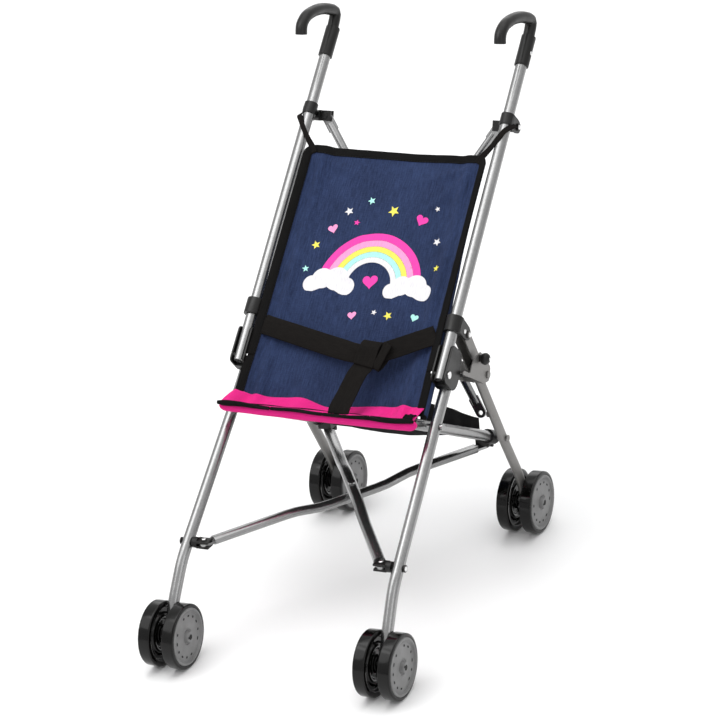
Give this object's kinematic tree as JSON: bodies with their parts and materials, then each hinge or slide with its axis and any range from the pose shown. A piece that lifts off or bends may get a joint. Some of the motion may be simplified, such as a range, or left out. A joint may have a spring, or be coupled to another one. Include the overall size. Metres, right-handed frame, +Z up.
{
  "type": "doll stroller",
  "caption": "Folding umbrella doll stroller with steel tube side frames, crossed braces, double wheels, hooked grips, cloth seat and lock levers.",
  "frame": {"origin": "on the ground under the middle of the bounding box", "axes": "+Z up, -Y towards the front wheels, +X towards the stroller's left side as a child sitting in it sees it, which is the right side in a view from the front"},
  "size_m": [0.2832, 0.5233, 0.5549],
  "materials": {
    "steel_tube": "satin",
    "grey_steel": "matte",
    "zinc_pin": "bright",
    "black_plastic": "semi-matte",
    "tyre": "glossy",
    "hubcap": "semi-matte",
    "navy_cloth": "woven",
    "pink_cloth": "woven",
    "black_webbing": "woven"
  },
  "bodies": {
    "leg_right": {"front_leg_right": "steel_tube", "knee_block_right": "black_plastic", "knee_pin_right": "zinc_pin", "wheel_front_right_axle": "zinc_pin", "seat_back_lower": "navy_cloth"},
    "handle_right": {"handle_tube_right": "steel_tube", "grip_right": "black_plastic", "brace_bracket_right": "black_plastic", "upper_clamp_right": "black_plastic", "seat_back": "navy_cloth", "waist_belt": "black_webbing"},
    "rail_right": {"seat_rail_right": "steel_tube", "rear_clip_right": "black_plastic", "seat_bottom": "pink_cloth", "crotch_strap": "black_webbing"},
    "rear_right": {"rear_link_right": "grey_steel", "rear_leg_right": "grey_steel", "wheel_rear_right_axle": "zinc_pin"},
    "lever_right": {"lock_lever_right": "grey_steel", "lever_knob_right": "black_plastic"},
    "clip_right": {"front_clip_right": "black_plastic"},
    "knuckle_right": {"brace_knuckle_right": "black_plastic"},
    "low_right": {"lower_brace_right": "steel_tube"},
    "back_right": {"back_brace_right": "steel_tube"},
    "front_wheel_right": {"wheel_front_right_tyre_outer": "tyre", "wheel_front_right_tyre_inner": "tyre", "wheel_front_right_cap_outer": "hubcap", "wheel_front_right_cap_inner": "hubcap"},
    "rear_wheel_right": {"wheel_rear_right_tyre_outer": "tyre", "wheel_rear_right_tyre_inner": "tyre", "wheel_rear_right_cap_outer": "hubcap", "wheel_rear_right_cap_inner": "hubcap"},
    "leg_left": {"front_leg_left": "steel_tube", "knee_block_left": "black_plastic", "knee_pin_left": "zinc_pin", "wheel_front_left_axle": "zinc_pin"},
    "handle_left": {"handle_tube_left": "steel_tube", "grip_left": "black_plastic", "brace_bracket_left": "black_plastic", "upper_clamp_left": "black_plastic"},
    "rail_left": {"seat_rail_left": "steel_tube", "rear_clip_left": "black_plastic"},
    "rear_left": {"rear_link_left": "grey_steel", "rear_leg_left": "grey_steel", "wheel_rear_left_axle": "zinc_pin"},
    "lever_left": {"lock_lever_left": "grey_steel", "lever_knob_left": "black_plastic"},
    "clip_left": {"front_clip_left": "black_plastic"},
    "knuckle_left": {"brace_knuckle_left": "black_plastic"},
    "low_left": {"lower_brace_left": "steel_tube"},
    "back_left": {"back_brace_left": "steel_tube"},
    "front_wheel_left": {"wheel_front_left_tyre_outer": "tyre", "wheel_front_left_tyre_inner": "tyre", "wheel_front_left_cap_outer": "hubcap", "wheel_front_left_cap_inner": "hubcap"},
    "rear_wheel_left": {"wheel_rear_left_tyre_outer": "tyre", "wheel_rear_left_tyre_inner": "tyre", "wheel_rear_left_cap_outer": "hubcap", "wheel_rear_left_cap_inner": "hubcap"}
  },
  "joints": [
    {"name": "fold", "type": "hinge", "parent": "leg_right", "child": "handle_right", "pos_m": [0.1135, -0.032, 0.2566], "axis": [1, 0, 0], "range_deg": [0, 150], "deforming": ["seat_back", "seat_back_lower", "seat_bottom", "waist_belt", "crotch_strap"]},
    {"name": "rail_turn_right", "type": "hinge", "parent": "leg_right", "child": "rail_right", "pos_m": [0.0995, -0.0575, 0.211], "axis": [1, 0, 0], "range_deg": [0, 72.5]},
    {"name": "rear_turn_right", "type": "hinge", "parent": "handle_right", "child": "rear_right", "pos_m": [0.1135, 0.02, 0.2785], "axis": [1, 0, 0], "range_deg": [-63.8, 0]},
    {"name": "lever_turn_right", "type": "hinge", "parent": "rear_right", "child": "lever_right", "pos_m": [0.1135, 0.0486, 0.2223], "axis": [1, 0, 0], "range_deg": [-20, 0]},
    {"name": "clip_turn_right", "type": "hinge", "parent": "leg_right", "child": "clip_right", "pos_m": [0.099, -0.175, 0.1123], "axis": [1, 0, 0], "range_deg": [0, 38.7]},
    {"name": "knuckle_turn_right", "type": "hinge", "parent": "handle_right", "child": "knuckle_right", "pos_m": [0.1, 0.1858, 0.4406], "axis": [1, 0, 0], "range_deg": [-21.5, 0]},
    {"name": "low_turn_right", "type": "hinge", "parent": "clip_right", "child": "low_right", "pos_m": [0.099, -0.175, 0.1123], "axis": [0, 0, 1], "range_deg": [-26, 0]},
    {"name": "back_turn_right", "type": "hinge", "parent": "knuckle_right", "child": "back_right", "pos_m": [0.1, 0.1858, 0.4406], "axis": [0, -0.9319, 0.3628], "range_deg": [0, 24.2]},
    {"name": "front_wheel_right_spin", "type": "hinge", "parent": "leg_right", "child": "front_wheel_right", "pos_m": [0.1196, -0.2282, 0.0335], "axis": [1, 0, 0], "continuous": true},
    {"name": "rear_wheel_right_spin", "type": "hinge", "parent": "rear_right", "child": "rear_wheel_right", "pos_m": [0.1117, 0.1408, 0.0335], "axis": [1, 0, 0], "continuous": true},
    {"name": "side_slide", "type": "slide", "parent": "leg_right", "child": "leg_left", "axis": [1, 0, 0], "range_m": [0, 0.1352]},
    {"name": "knee_left", "type": "hinge", "parent": "leg_left", "child": "handle_left", "pos_m": [-0.1135, -0.032, 0.2566], "axis": [1, 0, 0], "range_deg": [0, 150.5]},
    {"name": "rail_turn_left", "type": "hinge", "parent": "leg_left", "child": "rail_left", "pos_m": [-0.0995, -0.0575, 0.211], "axis": [1, 0, 0], "range_deg": [0, 72.5]},
    {"name": "rear_turn_left", "type": "hinge", "parent": "handle_left", "child": "rear_left", "pos_m": [-0.1135, 0.02, 0.2785], "axis": [1, 0, 0], "range_deg": [-63.8, 0]},
    {"name": "lever_turn_left", "type": "hinge", "parent": "rear_left", "child": "lever_left", "pos_m": [-0.1135, 0.0486, 0.2223], "axis": [1, 0, 0], "range_deg": [-20, 0]},
    {"name": "clip_turn_left", "type": "hinge", "parent": "leg_left", "child": "clip_left", "pos_m": [-0.099, -0.175, 0.1123], "axis": [1, 0, 0], "range_deg": [0, 38.7]},
    {"name": "knuckle_turn_left", "type": "hinge", "parent": "handle_left", "child": "knuckle_left", "pos_m": [-0.1, 0.1858, 0.4406], "axis": [1, 0, 0], "range_deg": [-21.5, 0]},
    {"name": "low_turn_left", "type": "hinge", "parent": "clip_left", "child": "low_left", "pos_m": [-0.099, -0.175, 0.1123], "axis": [0, 0, 1], "range_deg": [0, 26]},
    {"name": "back_turn_left", "type": "hinge", "parent": "knuckle_left", "child": "back_left", "pos_m": [-0.1, 0.1858, 0.4406], "axis": [0, -0.9319, 0.3628], "range_deg": [-24.2, 0]},
    {"name": "front_wheel_left_spin", "type": "hinge", "parent": "leg_left", "child": "front_wheel_left", "pos_m": [-0.1196, -0.2282, 0.0335], "axis": [1, 0, 0], "continuous": true},
    {"name": "rear_wheel_left_spin", "type": "hinge", "parent": "rear_left", "child": "rear_wheel_left", "pos_m": [-0.1117, 0.1408, 0.0335], "axis": [1, 0, 0], "continuous": true}
  ],
  "couplings": [
    {"joint": "rail_turn_right", "follows": "fold", "ratio": 0.48},
    {"joint": "rear_turn_right", "follows": "fold", "ratio": -0.422},
    {"joint": "clip_turn_right", "follows": "fold", "ratio": 0.2547},
    {"joint": "knuckle_turn_right", "follows": "fold", "ratio": -0.14},
    {"joint": "low_turn_right", "follows": "fold", "ratio": -0.17},
    {"joint": "back_turn_right", "follows": "fold", "ratio": 0.158},
    {"joint": "side_slide", "follows": "fold", "m_per_rad": 0.05145},
    {"joint": "knee_left", "follows": "fold", "ratio": 1},
    {"joint": "rail_turn_left", "follows": "fold", "ratio": 0.48},
    {"joint": "rear_turn_left", "follows": "fold", "ratio": -0.422},
    {"joint": "clip_turn_left", "follows": "fold", "ratio": 0.2547},
    {"joint": "knuckle_turn_left", "follows": "fold", "ratio": -0.14},
    {"joint": "low_turn_left", "follows": "fold", "ratio": 0.17},
    {"joint": "back_turn_left", "follows": "fold", "ratio": -0.158}
  ]
}
